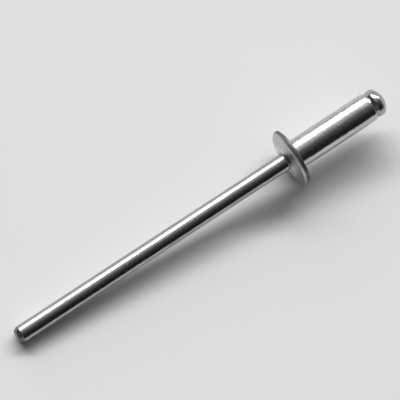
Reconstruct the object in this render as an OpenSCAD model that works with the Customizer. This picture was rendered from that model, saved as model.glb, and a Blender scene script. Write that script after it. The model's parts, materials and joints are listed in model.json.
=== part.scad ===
// Open-end blind rivet, 2.4 mm, with a domed flange, lying as it comes to rest: on its flange's rim and its
// stem's tip. It has two pieces: the aluminium rivet body, which is a sleeve, and the steel mandrel that runs
// through it.
//
// Each piece is drawn in profile, with its radius along x and its length along y. The flange's seat is at
// y = 0, the stem's tip is at negative y and the blind end at positive y. The profile is turned about its axis,
// and lie_down() sets the rivet on the floor, z = 0, with the tip towards -X and the blind end towards +X.

/* [Rivet body] */
// Diameter of the shank
shank_d = 2.4; // [2.3:0.01:2.48]
// Length of the shank, from the flange's seat to its blind end
shank_length = 7.4; // [4:0.1:12.5]
// Diameter of the flange
flange_d = 4.8; // [4.2:0.05:5]
// Height of the flange's dome, measured on the axis
flange_height = 0.85; // [0.75:0.01:1]
// Thickness of the flange at its rounded rim
rim_thickness = 0.5; // [0.3:0.01:0.55]
// Diameter of the bore
bore_d = 1.52; // [1.5:0.01:1.6]
// Length over which the blind end is crimped on to the mandrel
crimp_length = 0.8; // [0.6:0.05:1.2]
// How far the crimp draws in the outside of the shank
crimp_draw = 0.03; // [0.01:0.01:0.06]

/* [Mandrel] */
// Diameter of the stem
stem_d = 1.42; // [1.36:0.01:1.48]
// Length of the stem that stands out of the flange
stem_length = 25.2; // [25:0.1:30]
// Length of the taper at the stem's tip
tip_length = 0.35; // [0.2:0.05:0.6]
// Diameter of the tip's flat end
tip_d = 1; // [0.8:0.05:1.2]
// Diameter of the collar, which runs from the break neck to the head
collar_d = 1.38; // [1.3:0.01:1.4]
// Distance from the middle of the break neck to the head
neck_to_head = 1.6; // [1.3:0.1:2.2]
// Width of the break neck across its flats
neck_width = 0.8; // [0.7:0.02:0.9]
// Diameter of the head
head_d = 2.28; // [2.1:0.01:2.35]
// Length of the head
head_length = 1.25; // [1.1:0.05:1.5]

/* [Hidden] */

// Facets of a full circle
$fn = 96;
// How far a cut runs past the surface that it opens
past = 0.5;

shank_r = shank_d / 2;
bore_r = bore_d / 2;
stem_r = stem_d / 2;
tip_r = tip_d / 2;
collar_r = collar_d / 2;
head_r = head_d / 2;

// Rounds and chamfers of the rivet body
seat_fillet = 0.08;
seat_round = 0.08;
mouth_chamfer = 0.08;
blind_round = 0.15;

// The flange's dome is part of a sphere. It runs smoothly into the large round of the rim's front, which
// meets the small round of the rim's back at the flange's full radius.
flange_r = flange_d / 2;
rim_round = rim_thickness - seat_round;
rim_centre = flange_r - rim_round;
dome_rise = flange_height - seat_round;
dome_r = (rim_centre ^ 2 + dome_rise ^ 2 - rim_round ^ 2) / (2 * (dome_rise - rim_round));
dome_centre = flange_height - dome_r;
// Height of the dome at the mouth of the bore, where the stem comes out
crown = dome_centre + sqrt(dome_r ^ 2 - (bore_r + mouth_chamfer) ^ 2);
// Where the chamfer of the bore's mouth ends, and the stem stops being straight
mouth_end = mouth_chamfer - crown;

// The blind end narrows on to the mandrel's collar over half of the crimp and grips it over the other half
crimp_start = shank_length - crimp_length;
grip_start = shank_length - crimp_length / 2;
// The crimp draws the outside in by this much for each unit of length
crimp_taper = crimp_draw / crimp_length;

// Places along the mandrel
tip_end = -crown - stem_length;
taper_end = tip_end + tip_length;
neck_middle = shank_length - neck_to_head;
head_end = shank_length + head_length;

// Half the length of the break neck's pinched flats at the collar's surface and at their bottom
pinch_half = 0.45;
pinch_floor_half = 0.03;

// The head has a narrow seat, a cone that flares from it, a straight land and a cap that is part of a sphere
head_seat_r = 0.98;
head_flare = 0.3;
head_land = 0.4;
flare_end = shank_length + head_flare;
land_end = flare_end + head_land;
cap_height = head_end - land_end;
cap_r = (head_r ^ 2 + cap_height ^ 2) / (2 * cap_height);
cap_centre = head_end - cap_r;

// At rest the floor touches the stem where its taper ends and the front round of the flange's rim, which sets
// the tilt
rest_run = -seat_round - taper_end;
rest_drop = rim_centre - stem_r;
rest_tilt = atan2(rest_drop, rest_run) + asin(rim_round / norm([rest_run, rest_drop]));
rest_lift = rim_centre * cos(rest_tilt) + seat_round * sin(rest_tilt) + rim_round;
// Ends of the lying rivet along X, from the seat's centre
rest_left = tip_end * cos(rest_tilt) - tip_r * sin(rest_tilt);
rest_right = cap_centre * cos(rest_tilt) + cap_r;

// How far each piece is turned about its axis before it is laid down. The seam of its turned faces then lies
// beside the place that touches the floor.
body_turn = 360 / $fn;
mandrel_turn = 90;

// Turns a piece about its axis and lays it on the floor, with the middle of the rivet's length over the
// origin
module lie_down(turn) {
    translate([-(rest_left + rest_right) / 2, 0, rest_lift])
        rotate([0, 90 - rest_tilt, 0])
            rotate([0, 0, turn])
                children();
}

// What a round of radius r, centred on the origin, takes off a corner between an edge above it and an edge to
// its right that leans in by lean for each unit upwards
module corner_waste(r, lean) {
    far = r + past;
    difference() {
        polygon([[0, 0], [far, lean * far], [far, far], [0, far]]);
        circle(r);
    }
}

// Half of the flange's section, standing on its seat
module flange_profile() {
    front = [rim_centre, seat_round];
    // the line from the dome's centre through the front round's centre, where the two arcs meet
    slope = [rim_centre, seat_round - dome_centre] / (dome_r - rim_round);
    intersection() {
        translate([0, dome_centre]) circle(dome_r);
        polygon([
            [0, 0],
            [rim_centre, 0],
            front,
            [0, dome_centre] + slope * (dome_r + past),
            [0, flange_height + past],
        ]);
    }
    intersection() {
        translate(front) circle(rim_round);
        polygon([
            front,
            [flange_r + past, seat_round],
            [flange_r + past, flange_height + past],
            front + slope * (rim_round + past),
        ]);
    }
    translate([rim_centre, 0]) square([rim_round - seat_round, seat_round]);
    intersection() {
        translate([flange_r - seat_round, seat_round]) circle(seat_round);
        translate([flange_r - seat_round, 0]) square(seat_round);
    }
}

// The fillet between the shank and the flange's seat
module seat_fillet_profile() {
    translate([shank_r, 0])
        difference() {
            square(seat_fillet);
            translate([seat_fillet, seat_fillet]) circle(seat_fillet);
        }
}

// The bore: chamfered at its mouth, and closed in at the blind end to the collar's radius
module bore_profile() {
    polygon([
        [-past, -crown - past],
        [bore_r + mouth_chamfer + past, -crown - past],
        [bore_r, mouth_end],
        [bore_r, crimp_start],
        [collar_r, grip_start],
        [collar_r, shank_length + past],
        [-past, shank_length + past],
    ]);
}

// What the crimp and the round of the blind end take off the outside of the shank
module crimp_waste() {
    round_inset = crimp_taper * (crimp_length - blind_round) + blind_round * norm([1, crimp_taper]);
    polygon([
        [shank_r, crimp_start],
        [shank_r + past, crimp_start],
        [shank_r + past, shank_length + past],
        [shank_r - crimp_taper * (crimp_length + past), shank_length + past],
    ]);
    translate([shank_r - round_inset, shank_length - blind_round]) corner_waste(blind_round, crimp_taper);
}

module rivet_body_profile() {
    difference() {
        union() {
            mirror([0, 1]) flange_profile();
            square([shank_r, shank_length]);
            seat_fillet_profile();
        }
        bore_profile();
        crimp_waste();
    }
}

// Half of the mandrel's section, before its neck is pinched
module mandrel_profile() {
    polygon([
        [0, tip_end],
        [tip_r, tip_end],
        [stem_r, taper_end],
        [stem_r, mouth_end],
        [collar_r, neck_middle - pinch_half],
        [collar_r, shank_length],
        [head_seat_r, shank_length],
        [head_r, flare_end],
        [0, flare_end],
    ]);
    // the land and the cap
    intersection() {
        translate([0, cap_centre]) circle(cap_r);
        translate([0, flare_end]) square([head_r, head_end - flare_end]);
    }
}

// The four V-shaped flats that pinch the collar down to the neck, where the mandrel breaks when the rivet is
// set
module pinch_cuts() {
    depth = collar_r - neck_width / 2;
    reach = 1 + past / depth;
    for (side = [0:90:270])
        rotate([0, 0, side])
            translate([neck_width / 2, head_r, neck_middle])
                rotate([90, 0, 0])
                    linear_extrude(2 * head_r)
                        polygon([
                            [0, -pinch_floor_half],
                            [depth * reach, -pinch_half * reach],
                            [depth * reach, pinch_half * reach],
                            [0, pinch_floor_half],
                        ]);
}

module rivet_body() {
    color([0.62, 0.62, 0.63])
        lie_down(body_turn)
            rotate_extrude()
                rivet_body_profile();
}

module mandrel() {
    color([0.48, 0.48, 0.49])
        lie_down(mandrel_turn)
            difference() {
                rotate_extrude() mandrel_profile();
                pinch_cuts();
            }
}

rivet_body();
mandrel();
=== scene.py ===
"""Looks of an open-end blind rivet with a domed flange and its mandrel, lying on a pale surface.

Every length is in metres, in the frame of the packed model. Both pieces are turned shapes: each is an
outline, drawn as (radius, place along the axis), that Geometry Nodes turn about the rivet's axis. The
outline's origin is the middle of the flange's seat, and places along the axis grow towards the blind end.
"""
import json
import math

import bmesh
import bpy
from mathutils import Matrix, Vector


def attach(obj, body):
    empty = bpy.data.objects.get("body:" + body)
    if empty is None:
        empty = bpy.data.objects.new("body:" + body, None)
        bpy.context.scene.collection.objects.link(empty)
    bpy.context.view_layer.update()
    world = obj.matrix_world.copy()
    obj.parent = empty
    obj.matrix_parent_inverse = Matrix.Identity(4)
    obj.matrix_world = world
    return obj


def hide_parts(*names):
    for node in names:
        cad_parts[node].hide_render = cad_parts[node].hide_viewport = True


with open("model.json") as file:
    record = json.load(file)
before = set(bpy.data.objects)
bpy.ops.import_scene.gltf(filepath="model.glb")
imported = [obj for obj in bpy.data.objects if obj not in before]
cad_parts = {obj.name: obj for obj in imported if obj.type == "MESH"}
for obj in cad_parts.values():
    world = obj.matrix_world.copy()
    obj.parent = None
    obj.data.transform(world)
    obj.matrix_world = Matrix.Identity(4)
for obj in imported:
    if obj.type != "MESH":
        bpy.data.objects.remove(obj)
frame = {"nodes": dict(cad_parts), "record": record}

bl_info = {
    "name": "Blind Rivet",
    "version": (1, 0, 0),
    "blender": (4, 5, 0),
    "location": "View3D > Sidebar > Rivet",
    "description": "Makes the rivet body, the mandrel and the stage round the packed model",
    "category": "Object",
}

MM = 0.001

# --------------------------------------------------------------------------------------------------
# What the packed model gives: the rivet's axis, the seat of its flange and its radii and lengths
# --------------------------------------------------------------------------------------------------

MOUNTS = {mount["name"]: mount for mount in frame["record"]["mounts"]}
AXIS = Vector(MOUNTS["shank"]["axis"]).normalized()
ON_AXIS = Vector(MOUNTS["shank"]["pos_m"])
SEAT = ON_AXIS + AXIS * (Vector(MOUNTS["flange_seat"]["pos_m"]) - ON_AXIS).dot(AXIS)
# Turns a piece from upright to the rivet's axis, about Y
LAID_DOWN = (0.0, math.pi / 2 - math.atan2(AXIS.z, AXIS.x), 0.0)
SHANK_RADIUS = MOUNTS["shank"]["dims"]["r_mm"] * MM
STEM_RADIUS = MOUNTS["stem"]["dims"]["r_mm"] * MM


def along(point):
    """Place of a point along the rivet's axis, from the seat."""
    return (Vector(point) - SEAT).dot(AXIS)


def reach(node):
    """A node's lowest and highest place along the axis, and its largest radius, in the packed model."""
    points = [vertex.co for vertex in frame["nodes"][node].data.vertices]
    places = [along(point) for point in points]
    radii = [(point - SEAT - AXIS * place).length for point, place in zip(points, places)]
    return min(places), max(places), max(radii)


TIP_END, HEAD_END, _ = reach("mandrel")
CROWN, BLIND_END, FLANGE_RADIUS = reach("rivet_body")


# --------------------------------------------------------------------------------------------------
# Properties
# --------------------------------------------------------------------------------------------------

def length(name, description, default):
    """A length that a user may change."""
    return bpy.props.FloatProperty(
        name=name, description=description, default=default, min=0.0, precision=6, unit="LENGTH"
    )


def offset(name, description, default):
    """A distance that a user may change and that may be negative."""
    return bpy.props.FloatProperty(
        name=name, description=description, default=default, precision=6, unit="LENGTH"
    )


def facets(default):
    """The number of facets round the axis, which a user may change."""
    return bpy.props.IntProperty(
        name="Segments", description="Facets round the axis", default=default, min=24, max=512
    )


def colour(name, description, default):
    """A colour that a user may change."""
    return bpy.props.FloatVectorProperty(
        name=name, description=description, default=default, size=3, min=0.0, max=1.0, subtype="COLOR"
    )


def share(name, description, default):
    """A number from 0 to 1 that a user may change."""
    return bpy.props.FloatProperty(
        name=name, description=description, default=default, min=0.0, max=1.0, subtype="FACTOR"
    )


def light(name, description, default):
    """A brightness that a user may change; 1 is white."""
    return bpy.props.FloatProperty(name=name, description=description, default=default, min=0.0)


def angle(name, description, degrees):
    """An angle that a user may change, with its default in degrees."""
    return bpy.props.FloatProperty(
        name=name, description=description, default=math.radians(degrees), subtype="ANGLE"
    )


def bearing(name, degrees):
    """A level direction that a user may change, with its default in degrees."""
    return angle(name, "Direction seen from the rivet, turned from +Y towards -X", degrees)


class RivetBodySizes(bpy.types.PropertyGroup):
    """Sizes of the rivet body"""

    flange_height: length("Flange height", "Height of the dome, measured on the axis", 0.85 * MM)
    rim_thickness: length("Rim thickness", "Thickness of the flange at its rounded rim", 0.5 * MM)
    seat_round: length("Seat round", "Round of the rim's edge on the seat's side", 0.08 * MM)
    bore_radius: length("Bore radius", "Radius of the bore", 0.76 * MM)
    mouth_chamfer: length("Mouth chamfer", "Chamfer of the bore's mouth", 0.08 * MM)
    seat_fillet: length("Seat fillet", "Fillet between the shank and the seat", 0.08 * MM)
    crimp_length: length("Crimp length", "Length over which the blind end is crimped", 0.8 * MM)
    crimp_draw: length("Crimp draw", "How far the crimp draws in the outside", 0.03 * MM)
    blind_round: length("Blind round", "Round of the blind end's outer edge", 0.15 * MM)
    segments: facets(192)


class MandrelSizes(bpy.types.PropertyGroup):
    """Sizes of the mandrel"""

    tip_length: length("Tip length", "Length of the taper at the tip", 0.35 * MM)
    tip_radius: length("Tip radius", "Radius of the tip's flat end", 0.5 * MM)
    collar_radius: length("Collar radius", "Radius between the neck and the head", 0.69 * MM)
    neck_to_head: length("Neck to head", "From the middle of the neck to the head", 1.6 * MM)
    neck_width: length("Neck width", "Width of the break neck across its flats", 0.8 * MM)
    pinch_half: length("Pinch half length", "Half the length of the pinched flats", 0.45 * MM)
    head_radius: length("Head radius", "Radius of the head", 1.14 * MM)
    head_seat: length("Head seat", "Radius of the head's seat on the blind end", 0.98 * MM)
    head_flare: length("Head flare", "Length of the cone under the head", 0.3 * MM)
    head_land: length("Head land", "Length of the head's straight land", 0.4 * MM)
    segments: facets(128)


class FinishSettings(bpy.types.PropertyGroup):
    """Colours and finishes of the two metals"""

    aluminium: colour("Aluminium", "Colour of the rivet body", (0.62, 0.62, 0.63))
    aluminium_roughness: share("Aluminium roughness", "Roughness of the rivet body", 0.13)
    steel: colour("Steel", "Colour of the mandrel", (0.48, 0.48, 0.49))
    steel_roughness: share("Steel roughness", "Roughness of the mandrel", 0.13)


class StageSettings(bpy.types.PropertyGroup):
    """The floor, the light and the camera"""

    floor: colour("Floor", "Colour of the surface that the rivet lies on", (0.8, 0.8, 0.8))
    floor_size: length("Floor size", "Side of the square floor", 6.0)
    floor_roughness: share("Floor roughness", "Roughness of the floor", 0.9)
    floor_shine: share("Floor shine", "Specular level of the floor", 0.1)
    lamp_power: bpy.props.FloatProperty(
        name="Lamp power", description="Power of the soft lamp", default=22.35, min=0.0, unit="POWER"
    )
    lamp_distance: length("Lamp distance", "Distance of the soft lamp from the rivet", 1.4)
    lamp_width: length("Lamp width", "Level side of the soft lamp", 2.34)
    lamp_height: length("Lamp height", "Upright side of the soft lamp", 0.176)
    lamp_azimuth: bearing("Lamp azimuth", -30.1)
    lamp_elevation: angle("Lamp elevation", "Height of the lamp above the horizon", 44.0)
    halo_light: light("Halo light", "Brightness of the room right beside the lamp", 0.96)
    glow_light: light("Glow light", "Brightness of the low glow behind the rivet", 2.4)
    glow_azimuth: bearing("Glow azimuth", -8.9)
    glow_elevation: angle("Glow elevation", "Height of the low glow's middle above the horizon", 29.0)
    glow_reach: angle("Glow reach", "How far round its middle the low glow spreads", 24.0)
    wall_light: light("Wall light", "Brightness of the pale walls beyond the rivet's two ends", 0.15)
    tip_wall_azimuth: bearing("Tip wall azimuth", 112.0)
    blind_wall_azimuth: bearing("Blind wall azimuth", -100.0)
    wall_elevation: angle("Wall elevation", "Height of the walls' middles above the horizon", 8.0)
    wall_reach: angle("Wall reach", "How far round its middle each wall spreads", 46.0)
    camera_azimuth: angle("Camera azimuth", "Where the camera looks, turned from +Y towards -X", -61.29)
    camera_elevation: angle("Camera elevation", "Height of the camera above the horizon", 73.01)
    camera_roll: angle("Camera roll", "Turn of the camera about its line of sight", 27.65)
    camera_distance: length("Camera distance", "Distance of the camera from what it looks at", 0.28)
    camera_lens: bpy.props.FloatProperty(
        name="Camera lens", description="Focal length in millimetres", default=321.62, min=1.0, unit="CAMERA"
    )
    seat_right: offset("Seat right", "How far right of the view's middle the flange's seat is", 7.29 * MM)
    seat_up: offset("Seat up", "How far above the view's middle the flange's seat is", 3.41 * MM)


# --------------------------------------------------------------------------------------------------
# Outlines
# --------------------------------------------------------------------------------------------------

# Steps in which each curve is drawn
DOME_STEPS = 32
RIM_STEPS = 24
SEAT_EDGE_STEPS = 6
CAP_STEPS = 24
ROUND_STEPS = 5
# How far beside a round its support points stand, as a share of its radius
SUPPORT_SHARE = 0.3
# The longest stretch of an outline without a point
LONGEST_STRETCH = 0.5 * MM
# Rounds of the edges that look sharp
BODY_EDGE = 0.02 * MM
MANDREL_EDGE = 0.03 * MM


def arc(centre, radius, start, end, steps):
    """Points on a circle, from the angle start to the angle end, both included."""
    turns = [start + (end - start) * i / steps for i in range(steps + 1)]
    return [(centre[0] + radius * math.cos(turn), centre[1] + radius * math.sin(turn)) for turn in turns]


def rounded(corners):
    """An outline through corners, each given as (radius, place, round). A corner's round may be 0, which
    keeps it sharp. Beside each round stand two support points, so that the faces next to it shade flat."""
    points = []
    for i, (radius, place, size) in enumerate(corners):
        here = Vector((radius, place))
        if size == 0.0 or i in (0, len(corners) - 1):
            points.append(here)
            continue
        back = (Vector(corners[i - 1][:2]) - here).normalized()
        ahead = (Vector(corners[i + 1][:2]) - here).normalized()
        half = back.angle(ahead) / 2
        setback = size / math.tan(half)
        centre = here + (back + ahead).normalized() * (size / math.sin(half))
        first = here + back * setback - centre
        last = here + ahead * setback - centre
        turn = math.atan2(first.x * last.y - first.y * last.x, first.dot(last))
        start = math.atan2(first.y, first.x)
        points.append(centre + first + back * size * SUPPORT_SHARE)
        points += arc(centre, size, start, start + turn, ROUND_STEPS)
        points.append(centre + last + ahead * size * SUPPORT_SHARE)
    return [tuple(point) for point in points]


def split(points):
    """The same outline with no stretch longer than LONGEST_STRETCH."""
    out = [points[0]]
    for (x0, y0), (x1, y1) in zip(points, points[1:]):
        parts = max(1, math.ceil(math.hypot(x1 - x0, y1 - y0) / LONGEST_STRETCH))
        out += [(x0 + (x1 - x0) * k / parts, y0 + (y1 - y0) * k / parts) for k in range(1, parts + 1)]
    return out


def body_outline(sizes, collar_radius):
    """The rivet body from the bore's mouth over the dome, the rim, the seat, the shank and the blind end,
    and back through the bore."""
    rim = sizes.rim_thickness - sizes.seat_round
    rim_centre = (FLANGE_RADIUS - rim, -sizes.seat_round)
    rise = sizes.flange_height - sizes.seat_round
    dome = (rim_centre[0] ** 2 + rise**2 - rim**2) / (2 * (rise - rim))
    dome_centre = (0.0, dome - sizes.flange_height)
    dome_end = math.atan2(rim_centre[1] - dome_centre[1], rim_centre[0])
    seat_edge = FLANGE_RADIUS - sizes.seat_round
    mouth = sizes.bore_radius + sizes.mouth_chamfer
    flange = arc(dome_centre, dome, -math.acos(mouth / dome), dome_end, DOME_STEPS)
    flange += arc(rim_centre, rim, dome_end, 0.0, RIM_STEPS)[1:]
    flange += arc((seat_edge, rim_centre[1]), sizes.seat_round, 0.0, math.pi / 2, SEAT_EDGE_STEPS)[1:]
    shank_and_bore = rounded(
        [
            (seat_edge, 0.0, 0.0),
            (SHANK_RADIUS, 0.0, sizes.seat_fillet),
            (SHANK_RADIUS, BLIND_END - sizes.crimp_length, 0.0),
            (SHANK_RADIUS - sizes.crimp_draw, BLIND_END, sizes.blind_round),
            (collar_radius, BLIND_END, BODY_EDGE),
            (collar_radius, BLIND_END - sizes.crimp_length / 2, 0.0),
            (sizes.bore_radius, BLIND_END - sizes.crimp_length, 0.0),
            (sizes.bore_radius, CROWN + sizes.mouth_chamfer, BODY_EDGE),
            (mouth, CROWN, 0.0),
        ]
    )
    return flange + split(shank_and_bore)[1:]


def body_edges(sizes):
    """The rivet body's rubbed edges, each (radius, place, width): the rim's front, the bore's mouth and the
    blind end."""
    rim = sizes.rim_thickness - sizes.seat_round
    return (
        (FLANGE_RADIUS - 0.15 * MM, -rim, 0.2 * MM),
        (sizes.bore_radius + sizes.mouth_chamfer, CROWN, 0.1 * MM),
        (SHANK_RADIUS - sizes.crimp_draw, BLIND_END, 0.2 * MM),
    )


def mandrel_outline(sizes, stem_end):
    """The mandrel from its tip over the taper, the stem, the collar and the head's seat, cone and land to
    its cap. The stem is straight as far as the place stem_end."""
    neck = BLIND_END - sizes.neck_to_head
    flare_end = BLIND_END + sizes.head_flare
    land_end = flare_end + sizes.head_land
    cap_height = HEAD_END - land_end
    cap_radius = (sizes.head_radius**2 + cap_height**2) / (2 * cap_height)
    cap_centre = (0.0, HEAD_END - cap_radius)
    cap_start = math.atan2(land_end - cap_centre[1], sizes.head_radius)
    sides = rounded(
        [
            (0.0, TIP_END, 0.0),
            (sizes.tip_radius, TIP_END, MANDREL_EDGE),
            (STEM_RADIUS, TIP_END + sizes.tip_length, MANDREL_EDGE),
            (STEM_RADIUS, stem_end, 0.0),
            (sizes.collar_radius, neck - sizes.pinch_half, 0.0),
            (sizes.collar_radius, neck + sizes.pinch_half, 0.0),
            (sizes.collar_radius, BLIND_END, 0.0),
            (sizes.head_seat, BLIND_END, MANDREL_EDGE),
            (sizes.head_radius, flare_end, 2 * MANDREL_EDGE),
            (sizes.head_radius, land_end, 0.0),
        ]
    )
    return split(sides) + arc(cap_centre, cap_radius, cap_start, math.pi / 2, CAP_STEPS)[1:]


def mandrel_edges(sizes):
    """The mandrel's rubbed edges, each (radius, place, width): two at the tip and two round the head."""
    flare_end = BLIND_END + sizes.head_flare
    return (
        (sizes.tip_radius, TIP_END, 0.08 * MM),
        (STEM_RADIUS, TIP_END + sizes.tip_length, 0.1 * MM),
        (sizes.head_radius, flare_end, 0.12 * MM),
        (sizes.head_radius, flare_end + sizes.head_land, 0.12 * MM),
    )


def break_neck(sizes):
    """The break neck: the place of its middle, how far its flats are from the axis there, and how steeply
    they rise from there."""
    flat = sizes.neck_width / 2
    return BLIND_END - sizes.neck_to_head, flat, (sizes.collar_radius - flat) / sizes.pinch_half


# --------------------------------------------------------------------------------------------------
# Geometry Nodes: the lathe
# --------------------------------------------------------------------------------------------------

# The inputs of the lathe's tree, each given as (name, kind of socket)
LATHE_INPUTS = (
    ("Outline", "NodeSocketGeometry"),
    ("Segments", "NodeSocketInt"),
    ("Seat", "NodeSocketVector"),
    ("Turn", "NodeSocketVector"),
    ("Neck Place", "NodeSocketFloat"),
    ("Neck Flat", "NodeSocketFloat"),
    ("Neck Slope", "NodeSocketFloat"),
    ("Finish", "NodeSocketMaterial"),
)
# Flats as far out as a metre, which pinch nothing
NO_NECK = (0.0, 1.0, 0.0)
# Points nearer to each other than this become one
MERGE_DISTANCE = 1e-7


def add(tree, kind, **settings):
    """Adds a node to a tree. A setting is either one of the node's own or a socket, which it sets or links.
    A socket goes by its name, with _ for a space, or by its number, as i0, i1 and so on."""
    made = tree.nodes.new(kind)
    for name, value in settings.items():
        if hasattr(made, name):
            setattr(made, name, value)
            continue
        socket = made.inputs[int(name[1:]) if name[1:].isdigit() else name.replace("_", " ")]
        if isinstance(value, bpy.types.NodeSocket):
            tree.links.new(value, socket)
        else:
            socket.default_value = value
    return made


def computed(tree, operation, first, second=0.0):
    """A Math node's result. Some operations leave the second value unused."""
    return add(tree, "ShaderNodeMath", operation=operation, i0=first, i1=second).outputs[0]


def lathe_tree():
    """Turns an outline, a row of points (radius, 0, place), about the Z axis and lays the result down."""
    tree = bpy.data.node_groups.new("Lathe", "GeometryNodeTree")
    for label, kind in LATHE_INPUTS:
        tree.interface.new_socket(label, in_out="INPUT", socket_type=kind)
    tree.interface.new_socket("Piece", in_out="OUTPUT", socket_type="NodeSocketGeometry")
    given = tree.nodes.new("NodeGroupInput").outputs
    outline_size = add(tree, "GeometryNodeAttributeDomainSize", component="MESH", i0=given["Outline"])
    columns = computed(tree, "ADD", given["Segments"], 1.0)
    grid = add(
        tree, "GeometryNodeMeshGrid", Vertices_X=outline_size.outputs["Point Count"], Vertices_Y=columns
    )
    index = tree.nodes.new("GeometryNodeInputIndex").outputs[0]
    # The half keeps the row's number from falling just short of a whole one
    row = computed(tree, "FLOOR", computed(tree, "DIVIDE", computed(tree, "ADD", index, 0.5), columns))
    column = computed(tree, "SUBTRACT", index, computed(tree, "MULTIPLY", row, columns))
    turn = computed(tree, "DIVIDE", computed(tree, "MULTIPLY", column, math.tau), given["Segments"])
    drawn = add(
        tree,
        "GeometryNodeSampleIndex",
        data_type="FLOAT_VECTOR",
        Geometry=given["Outline"],
        Value=tree.nodes.new("GeometryNodeInputPosition").outputs[0],
        Index=row,
    )
    drawn_at = add(tree, "ShaderNodeSeparateXYZ", Vector=drawn.outputs[0]).outputs
    radius = pinched(tree, given, drawn_at["X"], drawn_at["Z"], turn)
    turned = add(
        tree,
        "ShaderNodeCombineXYZ",
        X=computed(tree, "MULTIPLY", radius, computed(tree, "COSINE", turn)),
        Y=computed(tree, "MULTIPLY", radius, computed(tree, "SINE", turn)),
        Z=drawn_at["Z"],
    )
    placed = add(tree, "GeometryNodeSetPosition", Geometry=grid.outputs[0], Position=turned.outputs[0])
    closed = add(
        tree, "GeometryNodeMergeByDistance", Geometry=placed.outputs[0], Distance=MERGE_DISTANCE
    )
    laid = add(
        tree,
        "GeometryNodeTransform",
        Geometry=closed.outputs[0],
        Translation=given["Seat"],
        Rotation=given["Turn"],
    )
    smooth = add(tree, "GeometryNodeSetShadeSmooth", Geometry=laid.outputs[0])
    real = add(tree, "GeometryNodeRealizeInstances", Geometry=smooth.outputs[0])
    finished = add(tree, "GeometryNodeSetMaterial", Geometry=real.outputs[0], Material=given["Finish"])
    add(tree, "NodeGroupOutput", Piece=finished.outputs[0])
    return tree


def pinched(tree, given, radius, place, turn):
    """The radius after four flats, a quarter turn apart, pinch the wire to the break neck."""
    quarter = math.pi / 2
    from_flat = computed(tree, "PINGPONG", computed(tree, "ADD", turn, quarter), quarter / 2)
    off = computed(tree, "ABSOLUTE", computed(tree, "SUBTRACT", place, given["Neck Place"]))
    flat = computed(tree, "ADD", given["Neck Flat"], computed(tree, "MULTIPLY", off, given["Neck Slope"]))
    flat_radius = computed(tree, "DIVIDE", flat, computed(tree, "COSINE", from_flat))
    return computed(tree, "MINIMUM", radius, flat_radius)


def turned_piece(name, outline, segments, material, neck=NO_NECK):
    """A plain mesh of the outline turned about the rivet's axis, closed and with its faces outwards."""
    drawing = bpy.data.meshes.new(name + "_outline")
    drawing.from_pydata([(radius, 0.0, place) for radius, place in outline], [], [])
    source = bpy.data.objects.new(name + "_outline", drawing)
    bpy.context.scene.collection.objects.link(source)
    tree = bpy.data.node_groups.get("Lathe") or lathe_tree()
    modifier = source.modifiers.new("Lathe", "NODES")
    modifier.node_group = tree
    inputs = [item for item in tree.interface.items_tree if item.in_out == "INPUT"]
    identifiers = {item.name: item.identifier for item in inputs}
    neck_place, neck_flat, neck_slope = neck
    values = {
        "Segments": segments,
        "Seat": list(SEAT),
        "Turn": list(LAID_DOWN),
        "Neck Place": neck_place,
        "Neck Flat": neck_flat,
        "Neck Slope": neck_slope,
        "Finish": material,
    }
    for label, value in values.items():
        modifier[identifiers[label]] = value
    evaluated = source.evaluated_get(bpy.context.evaluated_depsgraph_get())
    mesh = bpy.data.meshes.new_from_object(evaluated)
    bpy.data.objects.remove(source)
    bpy.data.meshes.remove(drawing)
    mesh.name = name
    close_up(mesh)
    piece = bpy.data.objects.new(name, mesh)
    bpy.context.scene.collection.objects.link(piece)
    return piece


def close_up(mesh):
    """Joins a mesh's double points and turns its faces outwards. A mesh that stays open is an error."""
    shape = bmesh.new()
    shape.from_mesh(mesh)
    bmesh.ops.remove_doubles(shape, verts=shape.verts, dist=MERGE_DISTANCE)
    bmesh.ops.recalc_face_normals(shape, faces=shape.faces)
    open_edges = [edge for edge in shape.edges if not edge.is_manifold]
    shape.to_mesh(mesh)
    shape.free()
    if open_edges:
        raise RuntimeError(f"{mesh.name} isn't closed: {len(open_edges)} open edges")


# --------------------------------------------------------------------------------------------------
# Effects that the two metals share
# --------------------------------------------------------------------------------------------------

def effect(name, inputs, outputs):
    """A shader node group and its inputs, each given as (name, default). The input Place is where the point
    lies on the rivet, in millimetres: Z runs along the axis from the seat."""
    tree = bpy.data.node_groups.new(name, "ShaderNodeTree")
    tree.interface.new_socket("Place", in_out="INPUT", socket_type="NodeSocketVector")
    for label, default in inputs:
        socket = tree.interface.new_socket(label, in_out="INPUT", socket_type="NodeSocketFloat")
        socket.default_value = default
    for label in outputs:
        tree.interface.new_socket(label, in_out="OUTPUT", socket_type="NodeSocketFloat")
    return tree, tree.nodes.new("NodeGroupInput").outputs


def ramp(tree, value, low, high, kind="SMOOTHSTEP"):
    """0 as far as low and 1 from high on, with a smooth or a straight rise between them."""
    made = add(
        tree, "ShaderNodeMapRange", interpolation_type=kind, Value=value, From_Min=low, From_Max=high
    )
    return made.outputs[0]


def hypotenuse(tree, first, second):
    """The square root of the sum of two squares."""
    squares = [computed(tree, "MULTIPLY", side, side) for side in (first, second)]
    return computed(tree, "SQRT", computed(tree, "ADD", *squares))


def whereabouts(tree, place):
    """How far a place is from the rivet's axis, and where it is along it."""
    at = add(tree, "ShaderNodeSeparateXYZ", Vector=place).outputs
    return hypotenuse(tree, at["X"], at["Y"]), at["Z"]


def enlarged(tree, place, size):
    """Places measured in units of a size."""
    rate = computed(tree, "DIVIDE", 1.0, size)
    return add(tree, "ShaderNodeVectorMath", operation="SCALE", i0=place, Scale=rate).outputs[0]


def noise(tree, place, detail):
    """Noise with features of about one unit."""
    made = add(tree, "ShaderNodeTexNoise", Vector=place, Scale=1.0, Detail=detail, Roughness=0.55)
    return made.outputs[0]


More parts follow.
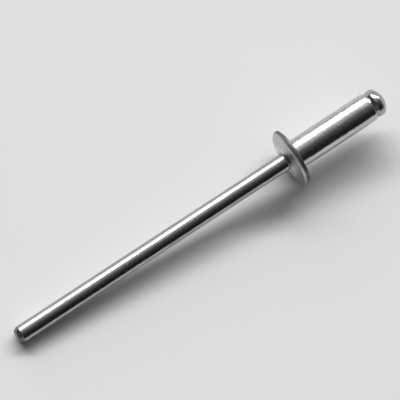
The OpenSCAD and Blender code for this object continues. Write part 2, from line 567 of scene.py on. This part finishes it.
def drawn_lines():
    """Fine lines along the axis, left by the die that the wire or the blank was drawn through."""
    inputs = (("Line Width", 0.08), ("Stretch", 30.0))
    tree, given = effect("Drawn Lines", inputs, ("Height", "Streaks"))
    across = computed(tree, "DIVIDE", 1.0, given["Line Width"])
    lengthwise = computed(tree, "DIVIDE", across, given["Stretch"])
    scale = add(tree, "ShaderNodeCombineXYZ", X=across, Y=across, Z=lengthwise).outputs[0]
    drawn = add(tree, "ShaderNodeVectorMath", operation="MULTIPLY", i0=given["Place"], i1=scale).outputs[0]
    height = ramp(tree, noise(tree, drawn, 3.0), 0.3, 0.7, "LINEAR")
    streaks = ramp(tree, noise(tree, enlarged(tree, drawn, 3.0), 2.0), 0.4, 0.65)
    add(tree, "NodeGroupOutput", Height=height, Streaks=streaks)
    return tree


def tumbled_skin():
    """Shallow dents and a cloudy sheen, left by tumbling the parts together."""
    inputs = (("Dent Size", 0.35), ("Cloud Size", 0.9))
    tree, given = effect("Tumbled Skin", inputs, ("Height", "Clouds"))
    spread = enlarged(tree, given["Place"], given["Dent Size"])
    bent = add(tree, "ShaderNodeTexNoise", Vector=spread, Scale=2.0).outputs["Color"]
    wander = add(tree, "ShaderNodeVectorMath", operation="ADD", i0=spread, i1=bent).outputs[0]
    dents = add(
        tree, "ShaderNodeTexVoronoi", feature="SMOOTH_F1", Vector=wander, Scale=1.0, Smoothness=0.6
    )
    bowls = ramp(tree, dents.outputs["Distance"], 0.05, 0.8)
    clouds = ramp(tree, noise(tree, enlarged(tree, given["Place"], given["Cloud Size"]), 4.0), 0.36, 0.66)
    add(tree, "NodeGroupOutput", Height=bowls, Clouds=clouds)
    return tree


def hairlines():
    """Thin, broken scratches from handling: level curves of a stretched noise, kept only here and there."""
    inputs = (("Spacing", 0.6), ("Thickness", 0.03))
    tree, given = effect("Hairlines", inputs, ("Scratches",))
    spread = enlarged(tree, given["Place"], given["Spacing"])
    leaned = add(
        tree, "ShaderNodeMapping", Vector=spread, Rotation=(0.5, 0.3, 0.9), Scale=(1.0, 3.0, 1.6)
    )
    level = computed(tree, "SUBTRACT", noise(tree, leaned.outputs[0], 1.0), 0.5)
    away = ramp(tree, computed(tree, "ABSOLUTE", level), 0.0, given["Thickness"])
    line = computed(tree, "SUBTRACT", 1.0, away)
    kept = ramp(tree, noise(tree, spread, 2.0), 0.5, 0.62)
    add(tree, "NodeGroupOutput", Scratches=computed(tree, "MULTIPLY", line, kept))
    return tree


def pressed_face():
    """Where a die or a shear pressed the metal duller and finely grained: on one side of an edge across a
    given number, such as a radius or a place along the axis."""
    inputs = (("Across", 0.0), ("Bright Side", 0.0), ("Dull Side", 1.0), ("Grain Size", 0.05))
    tree, given = effect("Pressed Face", inputs, ("Mask", "Grain"))
    mask = ramp(tree, given["Across"], given["Bright Side"], given["Dull Side"])
    grain = ramp(tree, noise(tree, enlarged(tree, given["Place"], given["Grain Size"]), 3.0), 0.3, 0.7)
    add(tree, "NodeGroupOutput", Mask=mask, Grain=computed(tree, "MULTIPLY", mask, grain))
    return tree


def worn_edge():
    """The band where a round edge, a circle about the axis, is rubbed bright."""
    inputs = (("Edge Radius", 1.0), ("Edge Place", 0.0), ("Width", 0.1))
    tree, given = effect("Worn Edge", inputs, ("Wear",))
    radius, along_axis = whereabouts(tree, given["Place"])
    out = computed(tree, "SUBTRACT", radius, given["Edge Radius"])
    on = computed(tree, "SUBTRACT", along_axis, given["Edge Place"])
    band = computed(tree, "SUBTRACT", 1.0, ramp(tree, hypotenuse(tree, out, on), 0.0, given["Width"]))
    patchy = ramp(tree, noise(tree, enlarged(tree, given["Place"], 0.25), 3.0), 0.3, 0.6)
    add(tree, "NodeGroupOutput", Wear=computed(tree, "MULTIPLY", band, patchy))
    return tree


EFFECTS = {
    "Drawn Lines": drawn_lines,
    "Tumbled Skin": tumbled_skin,
    "Hairlines": hairlines,
    "Pressed Face": pressed_face,
    "Worn Edge": worn_edge,
}


def used(tree, name, place, **values):
    """One of the effects, which its first use builds, placed in a material with its own values."""
    group = bpy.data.node_groups.get(name) or EFFECTS[name]()
    return add(tree, "ShaderNodeGroup", node_tree=group, Place=place, **values).outputs


def worn(tree, place, edges):
    """Where the given edges, each (radius, place along the axis, width) in metres, are rubbed bright."""
    wear = None
    for edge in edges:
        radius, along_axis, width = [size / MM for size in edge]
        band = used(tree, "Worn Edge", place, Edge_Radius=radius, Edge_Place=along_axis, Width=width)
        wear = band["Wear"] if wear is None else computed(tree, "MAXIMUM", wear, band["Wear"])
    return wear


# --------------------------------------------------------------------------------------------------
# Metals
# --------------------------------------------------------------------------------------------------

def metal(name):
    """A new metal: its material, node tree and shader, and the place on the rivet, in millimetres, whose Z
    runs along the axis from the seat."""
    material = bpy.data.materials.new(name)
    material.use_nodes = True
    tree = material.node_tree
    shader = tree.nodes["Principled BSDF"]
    shader.inputs["Metallic"].default_value = 1.0
    place = add(
        tree,
        "ShaderNodeMapping",
        vector_type="TEXTURE",
        Vector=add(tree, "ShaderNodeTexCoord").outputs["Object"],
        Location=SEAT,
        Rotation=LAID_DOWN,
        Scale=(MM, MM, MM),
    )
    return material, tree, shader, place.outputs[0]


def total(tree, start, *shares):
    """A number plus shares of masks, each given as (mask, share)."""
    value = start
    for mask, part in shares:
        value = add(tree, "ShaderNodeMath", operation="MULTIPLY_ADD", i0=mask, i1=part, i2=value).outputs[0]
    return value


def tinted(tree, shader, base, shade):
    """The base colour, made darker or lighter by a share."""
    made = add(tree, "ShaderNodeVectorMath", operation="SCALE", i0=tuple(base), Scale=shade)
    tree.links.new(made.outputs[0], shader.inputs["Base Color"])


def embossed(tree, shader, *layers):
    """Bumps, each given as (height, depth in millimetres), on top of each other."""
    normal = None
    for height, depth in layers:
        bump = add(tree, "ShaderNodeBump", Height=height, Distance=depth * MM)
        if normal:
            tree.links.new(normal, bump.inputs["Normal"])
        normal = bump.outputs[0]
    tree.links.new(normal, shader.inputs["Normal"])


def body_aluminium(settings, edges):
    """Bright aluminium, tumbled, with lines from the die along the shank and a satin flange, as the heading
    die leaves it. The back of the flange's rim is rougher, and a painted shade darkens its colour there."""
    material, tree, shader, place = metal("Body aluminium")
    radius, along_axis = whereabouts(tree, place)
    shank = SHANK_RADIUS / MM
    rim = FLANGE_RADIUS / MM
    flange = used(
        tree,
        "Pressed Face",
        place,
        Across=radius,
        Bright_Side=shank + 0.05,
        Dull_Side=shank + 0.3,
        Grain_Size=0.07,
    )
    # The next two masks mark the back of the flange's rim, which gets a painted shade and more roughness
    outside = used(
        tree, "Pressed Face", place, Across=radius, Bright_Side=rim - 0.22, Dull_Side=rim - 0.12
    )
    back = used(tree, "Pressed Face", place, Across=along_axis, Bright_Side=-0.4, Dull_Side=-0.2)
    rim_back_roughness_and_painted_shade = computed(tree, "MULTIPLY", outside["Mask"], back["Mask"])
    skin = used(tree, "Tumbled Skin", place, Dent_Size=0.32, Cloud_Size=0.8)
    lines = used(tree, "Drawn Lines", place, Line_Width=0.09, Stretch=14.0)
    scratches = used(tree, "Hairlines", place, Spacing=0.5, Thickness=0.02)["Scratches"]
    wear = worn(tree, place, edges)
    shade = total(
        tree,
        1.0,
        (skin["Clouds"], -0.13),
        (lines["Streaks"], -0.07),
        (wear, 0.1),
        (flange["Grain"], -0.12),
        # painted shade: darkens the colour on the back of the flange's rim
        (rim_back_roughness_and_painted_shade, -0.6),
    )
    tinted(tree, shader, settings.aluminium, shade)
    gloss = total(
        tree,
        settings.aluminium_roughness,
        (skin["Clouds"], 0.05),
        (scratches, 0.12),
        (wear, -0.05),
        (flange["Mask"], 0.2),
        (rim_back_roughness_and_painted_shade, 0.18),
    )
    tree.links.new(gloss, shader.inputs["Roughness"])
    embossed(
        tree,
        shader,
        (skin["Height"], 0.0055),
        (lines["Height"], 0.0011),
        (scratches, -0.0008),
        (flange["Grain"], 0.0006),
    )
    return material


def mandrel_steel(settings, edges, taper_end):
    """Drawn steel wire, bright and lightly oiled, with a duller film in places. Its tip, as far as the place
    where its taper ends, is dull and rough from the shear."""
    material, tree, shader, place = metal("Mandrel steel")
    _, along_axis = whereabouts(tree, place)
    to_taper = -taper_end / MM
    cut = used(
        tree,
        "Pressed Face",
        place,
        Across=computed(tree, "MULTIPLY", along_axis, -1.0),
        Bright_Side=to_taper - 0.15,
        Dull_Side=to_taper + 0.1,
        Grain_Size=0.12,
    )
    skin = used(tree, "Tumbled Skin", place, Dent_Size=0.5, Cloud_Size=1.4)
    lines = used(tree, "Drawn Lines", place, Line_Width=0.06, Stretch=40.0)
    scratches = used(tree, "Hairlines", place, Spacing=0.7, Thickness=0.015)["Scratches"]
    wear = worn(tree, place, edges)
    shade = total(
        tree,
        1.0,
        (skin["Clouds"], -0.14),
        (lines["Streaks"], -0.08),
        (wear, 0.15),
        (cut["Mask"], -0.42),
        (cut["Grain"], -0.2),
    )
    tinted(tree, shader, settings.steel, shade)
    gloss = total(
        tree,
        settings.steel_roughness,
        (skin["Clouds"], 0.05),
        (lines["Streaks"], 0.04),
        (scratches, 0.1),
        (wear, -0.04),
        (cut["Mask"], 0.25),
    )
    tree.links.new(gloss, shader.inputs["Roughness"])
    embossed(
        tree,
        shader,
        (skin["Height"], 0.0042),
        (lines["Height"], 0.0011),
        (scratches, -0.0006),
        (cut["Grain"], 0.004),
    )
    return material


# --------------------------------------------------------------------------------------------------
# Stage
# --------------------------------------------------------------------------------------------------

# Light of the room, each stop given as (cosine of the angle from the lamp's direction, brightness)
HALO = (
    (0.0, 0.02),
    (0.14, 0.033),
    (0.37, 0.075),
    (0.57, 0.12),
    (0.71, 0.2),
    (0.88, 0.5),
    (0.96, 0.9),
    (1.0, 1.0),
)
# The camera sees what is between these distances from it
CAMERA_NEAR = 0.01
CAMERA_FAR = 20.0


def towards(azimuth, elevation):
    """The direction at an azimuth, turned from +Y towards -X, and an elevation above the horizon."""
    flat = Vector((-math.sin(azimuth), math.cos(azimuth), 0.0))
    return flat * math.cos(elevation) + Vector((0.0, 0.0, math.sin(elevation)))


def make_floor(scene, settings):
    """A plain pale floor."""
    half = settings.floor_size / 2
    corners = [(-half, -half, 0), (half, -half, 0), (half, half, 0), (-half, half, 0)]
    ground = bpy.data.meshes.new("floor")
    ground.from_pydata(corners, [], [(0, 1, 2, 3)])
    floor = bpy.data.objects.new("floor", ground)
    scene.collection.objects.link(floor)
    paper = bpy.data.materials.new("Pale floor")
    paper.use_nodes = True
    shader = paper.node_tree.nodes["Principled BSDF"]
    shader.inputs["Base Color"].default_value = (*settings.floor, 1.0)
    shader.inputs["Roughness"].default_value = settings.floor_roughness
    shader.inputs["Specular IOR Level"].default_value = settings.floor_shine
    ground.materials.append(paper)


def make_camera(scene, settings):
    """The scene's camera, which looks down on the rivet."""
    azimuth = settings.camera_azimuth
    back = towards(azimuth + math.pi, settings.camera_elevation)
    level = Vector((math.cos(azimuth), math.sin(azimuth), 0.0))
    right = level * math.cos(settings.camera_roll) + back.cross(level) * math.sin(settings.camera_roll)
    up = back.cross(right)
    aim = SEAT - right * settings.seat_right - up * settings.seat_up
    camera = bpy.data.objects.new("camera", bpy.data.cameras.new("camera"))
    camera.data.lens = settings.camera_lens
    camera.data.clip_start = CAMERA_NEAR
    camera.data.clip_end = CAMERA_FAR
    turn = Matrix((right, up, back)).transposed().to_4x4()
    camera.matrix_world = Matrix.Translation(aim + back * settings.camera_distance) @ turn
    scene.collection.objects.link(camera)
    scene.camera = camera


def make_lamp(scene, settings, lit_from):
    """A wide, slim and soft lamp in the given direction."""
    lamp = bpy.data.objects.new("soft_lamp", bpy.data.lights.new("soft_lamp", "AREA"))
    lamp.data.shape = "RECTANGLE"
    lamp.data.size = settings.lamp_width
    lamp.data.size_y = settings.lamp_height
    lamp.data.energy = settings.lamp_power
    lamp.location = lit_from * settings.lamp_distance
    lamp.rotation_euler = lit_from.to_track_quat("Z", "Y").to_euler()
    scene.collection.objects.link(lamp)


def set_greys(node, greys):
    """Sets a Color Ramp node's stops to greys, each given as (place, grey)."""
    elements = node.color_ramp.elements
    while len(elements) < len(greys):
        elements.new(0.5)
    for element, (place, grey) in zip(elements, greys):
        element.position = place
        element.color = (grey, grey, grey, 1.0)


def glow(tree, direction, middle, spread, brightness):
    """A soft patch of light in the room, brightest at its middle."""
    nearness = add(
        tree, "ShaderNodeVectorMath", operation="DOT_PRODUCT", i0=direction, i1=tuple(middle)
    )
    patch = add(
        tree,
        "ShaderNodeMapRange",
        interpolation_type="SMOOTHSTEP",
        Value=nearness.outputs["Value"],
        From_Min=math.cos(spread),
        To_Max=brightness,
    )
    return patch.outputs[0]


def make_room(scene, settings, lit_from):
    """The room that the metal mirrors: a halo round the lamp, a low glow and a pale wall beyond each end."""
    world = bpy.data.worlds.new("room")
    scene.world = world
    world.use_nodes = True
    tree = world.node_tree
    tree.nodes.clear()
    direction = add(tree, "ShaderNodeTexCoord").outputs["Generated"]
    to_lamp = add(
        tree, "ShaderNodeVectorMath", operation="DOT_PRODUCT", i0=direction, i1=tuple(lit_from)
    )
    halo = add(tree, "ShaderNodeValToRGB", Fac=to_lamp.outputs["Value"])
    set_greys(halo, HALO)
    room_light = computed(tree, "MULTIPLY", halo.outputs["Color"], settings.halo_light)
    low_glow = towards(settings.glow_azimuth, settings.glow_elevation)
    tip_wall = towards(settings.tip_wall_azimuth, settings.wall_elevation)
    blind_wall = towards(settings.blind_wall_azimuth, settings.wall_elevation)
    for patch in (
        glow(tree, direction, low_glow, settings.glow_reach, settings.glow_light),
        glow(tree, direction, tip_wall, settings.wall_reach, settings.wall_light),
        glow(tree, direction, blind_wall, settings.wall_reach, settings.wall_light),
    ):
        room_light = computed(tree, "ADD", room_light, patch)
    background = add(tree, "ShaderNodeBackground", Color=room_light)
    add(tree, "ShaderNodeOutputWorld", Surface=background.outputs[0])


# --------------------------------------------------------------------------------------------------
# Operators
# --------------------------------------------------------------------------------------------------

class RIVET_OT_mandrel(bpy.types.Operator):
    """Make the steel mandrel: stem, break neck and head"""

    bl_idname = "rivet.mandrel"
    bl_label = "Mandrel"

    def execute(self, context):
        scene = context.scene
        sizes = scene.mandrel_sizes
        outline = mandrel_outline(sizes, CROWN + scene.rivet_body_sizes.mouth_chamfer)
        finish = mandrel_steel(scene.finish_settings, mandrel_edges(sizes), TIP_END + sizes.tip_length)
        piece = turned_piece("mandrel_pin", outline, sizes.segments, finish, break_neck(sizes))
        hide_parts("mandrel")
        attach(piece, "root")
        return {"FINISHED"}


class RIVET_OT_body(bpy.types.Operator):
    """Make the aluminium rivet body: shank, domed flange and bore"""

    bl_idname = "rivet.body"
    bl_label = "Rivet body"

    def execute(self, context):
        scene = context.scene
        sizes = scene.rivet_body_sizes
        outline = body_outline(sizes, scene.mandrel_sizes.collar_radius)
        finish = body_aluminium(scene.finish_settings, body_edges(sizes))
        piece = turned_piece("rivet_sleeve", outline, sizes.segments, finish)
        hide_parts("rivet_body")
        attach(piece, "root")
        return {"FINISHED"}


class RIVET_OT_stage(bpy.types.Operator):
    """Set up the pale floor, the soft light and the camera"""

    bl_idname = "rivet.stage"
    bl_label = "Stage"

    def execute(self, context):
        scene = context.scene
        settings = scene.stage_settings
        scene.view_settings.view_transform = "Standard"
        lit_from = towards(settings.lamp_azimuth, settings.lamp_elevation)
        make_floor(scene, settings)
        make_camera(scene, settings)
        make_lamp(scene, settings, lit_from)
        make_room(scene, settings, lit_from)
        return {"FINISHED"}


class RIVET_PT_maker(bpy.types.Panel):
    """Lists the pieces, the stage and their settings"""

    bl_label = "Rivet"
    bl_idname = "RIVET_PT_maker"
    bl_space_type = "VIEW_3D"
    bl_region_type = "UI"
    bl_category = "Rivet"

    def draw(self, context):
        for operator in OPERATORS:
            self.layout.operator(operator.bl_idname)
        for name, group in GROUPS.items():
            box = self.layout.box()
            box.label(text=group.__doc__)
            for setting in group.__annotations__:
                box.prop(getattr(context.scene, name), setting)


GROUPS = {
    "rivet_body_sizes": RivetBodySizes,
    "mandrel_sizes": MandrelSizes,
    "finish_settings": FinishSettings,
    "stage_settings": StageSettings,
}
OPERATORS = (RIVET_OT_stage, RIVET_OT_mandrel, RIVET_OT_body)
CLASSES = (*GROUPS.values(), *OPERATORS, RIVET_PT_maker)


def register():
    """Registers the classes and gives the scene its settings."""
    for each in CLASSES:
        bpy.utils.register_class(each)
    for name, group in GROUPS.items():
        setattr(bpy.types.Scene, name, bpy.props.PointerProperty(type=group))


def unregister():
    """Takes the settings and the classes away again."""
    for name in GROUPS:
        delattr(bpy.types.Scene, name)
    for each in reversed(CLASSES):
        bpy.utils.unregister_class(each)


def main():
    """Makes the stage and the pieces."""
    register()
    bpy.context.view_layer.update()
    bpy.ops.rivet.stage()
    bpy.ops.rivet.mandrel()
    bpy.ops.rivet.body()


if __name__ == "__main__":
    main()
